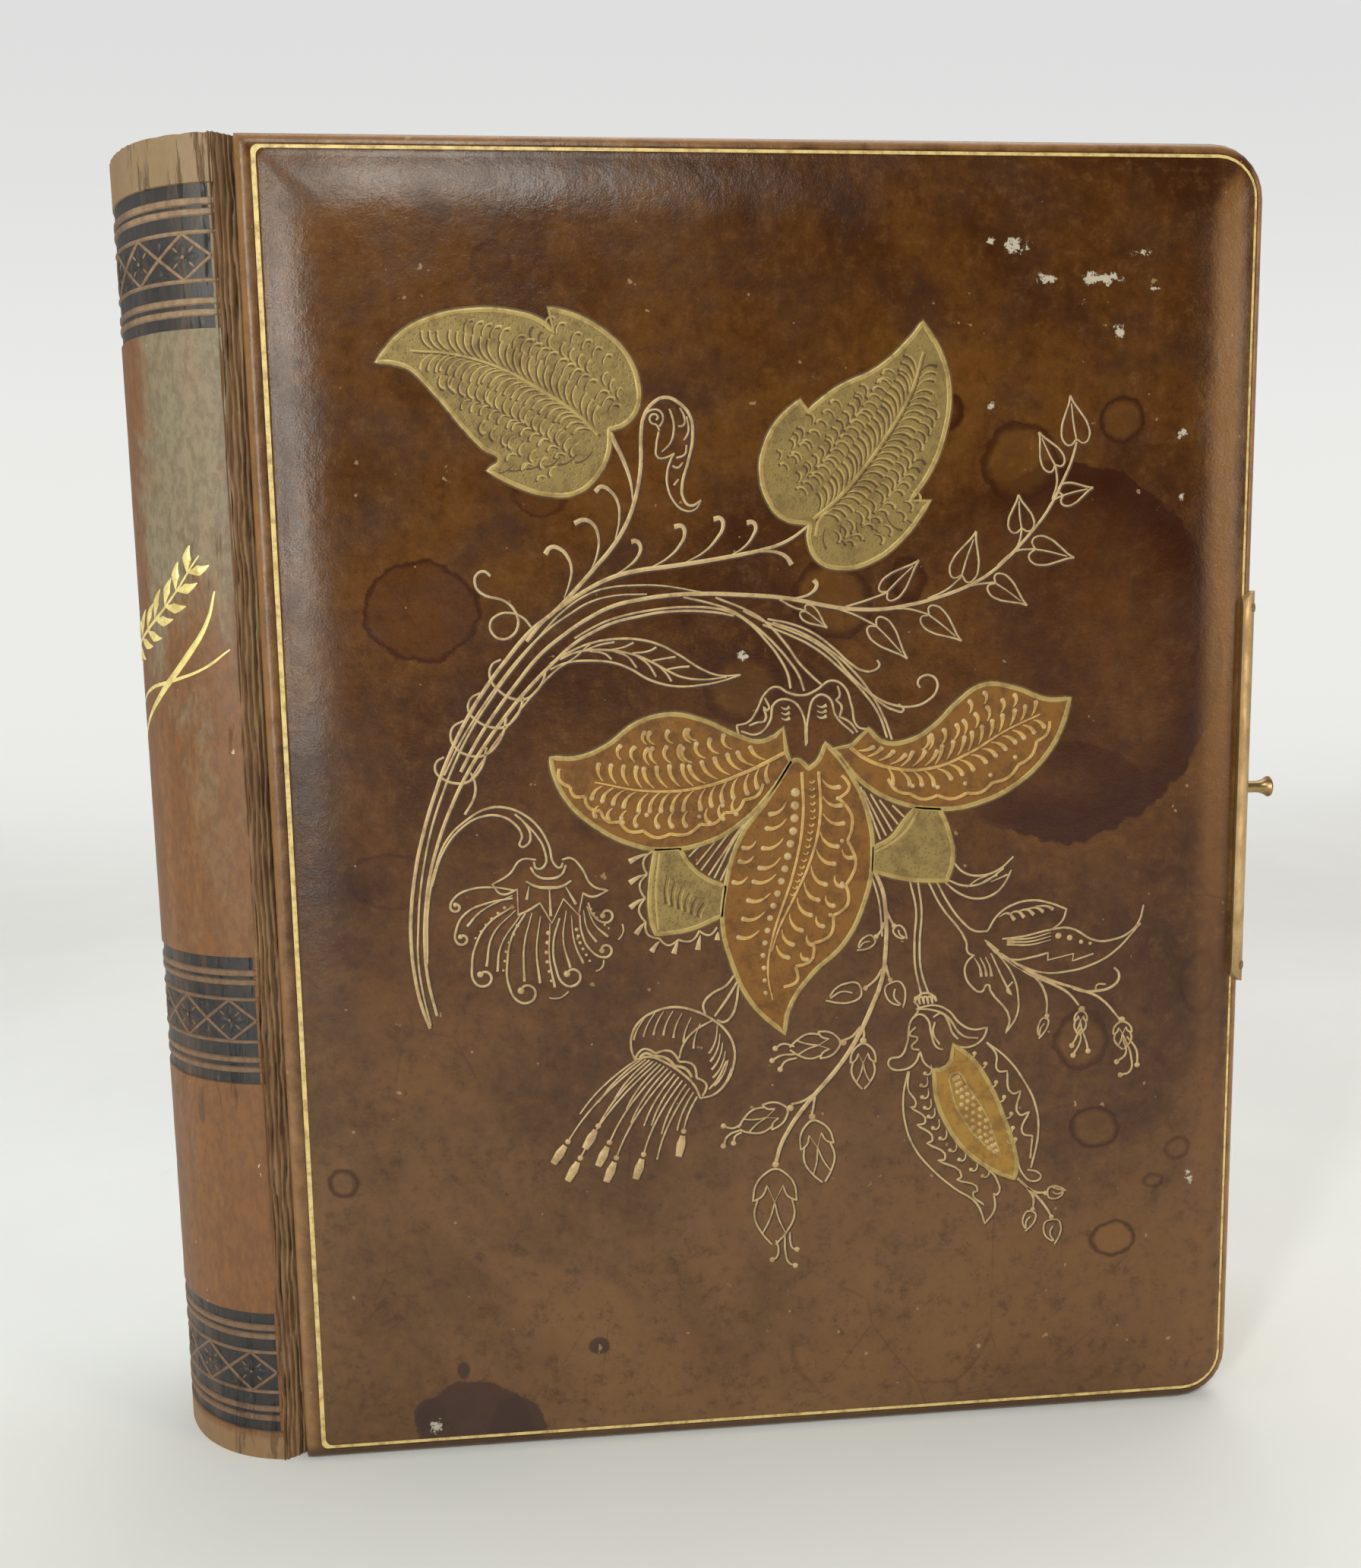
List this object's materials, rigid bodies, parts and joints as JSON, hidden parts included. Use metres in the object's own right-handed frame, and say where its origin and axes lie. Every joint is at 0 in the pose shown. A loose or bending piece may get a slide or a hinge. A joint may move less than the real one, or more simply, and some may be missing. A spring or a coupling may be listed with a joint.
{
  "type": "photo album",
  "caption": "Leather-bound card-leaf photo album standing on its tail: padded covers on leather hinges, hollow round spine, edge plates with a clasp strap and a push button.",
  "frame": {"origin": "centre of the bounding box in plan, on the surface that the album stands on", "axes": "+Z from tail to head, +X from spine to fore-edge, -Y is the side of the front cover"},
  "size_m": [0.2414, 0.064, 0.27],
  "materials": {
    "leather": "worn, polished brown calf",
    "board": "dense pasteboard",
    "wadding": "cotton wadding",
    "leaf_card": "thick card leaves with gilt edges",
    "end_paper": "glazed cream paper",
    "lining_cloth": "open-weave cotton",
    "brass": "dull lacquered brass",
    "spring_steel": "drawn wire"
  },
  "bodies": {
    "block": {"leaf_block": "leaf_card", "spine_lining": "lining_cloth", "spine_board": "board", "spine_leather": "leather", "front_joint_leather": "leather", "back_joint_leather": "leather"},
    "front_cover": {"front_board": "board", "front_padding": "wadding", "front_leather": "leather", "front_pastedown": "end_paper", "front_clasp_plate": "brass", "front_plate_pins": "brass", "button_spring": "spring_steel"},
    "back_cover": {"back_board": "board", "back_padding": "wadding", "back_leather": "leather", "back_pastedown": "end_paper", "back_clasp_plate": "brass", "back_plate_pins": "brass", "clasp_hinge_pin": "brass"},
    "strap": {"clasp_strap": "brass"},
    "button": {"clasp_button": "brass"}
  },
  "joints": [
    {"name": "front_cover_hinge", "type": "hinge", "parent": "block", "child": "front_cover", "pos_m": [-0.0907, -0.03, 0.135], "axis": [0, 0, -1], "range_deg": [0, 180]},
    {"name": "back_cover_hinge", "type": "hinge", "parent": "block", "child": "back_cover", "pos_m": [-0.0907, 0.03, 0.135], "axis": [0, 0, 1], "range_deg": [0, 180]},
    {"name": "clasp_strap_hinge", "type": "hinge", "parent": "back_cover", "child": "strap", "pos_m": [0.1161, 0.0265, 0.1385], "axis": [0, 0, 1], "range_deg": [0, 170]},
    {"name": "clasp_button_press", "type": "slide", "parent": "front_cover", "child": "button", "axis": [-1, 0, 0], "range_m": [0, 0.0015], "stiffness_N_per_m": 400, "deforming": ["button_spring"]}
  ]
}
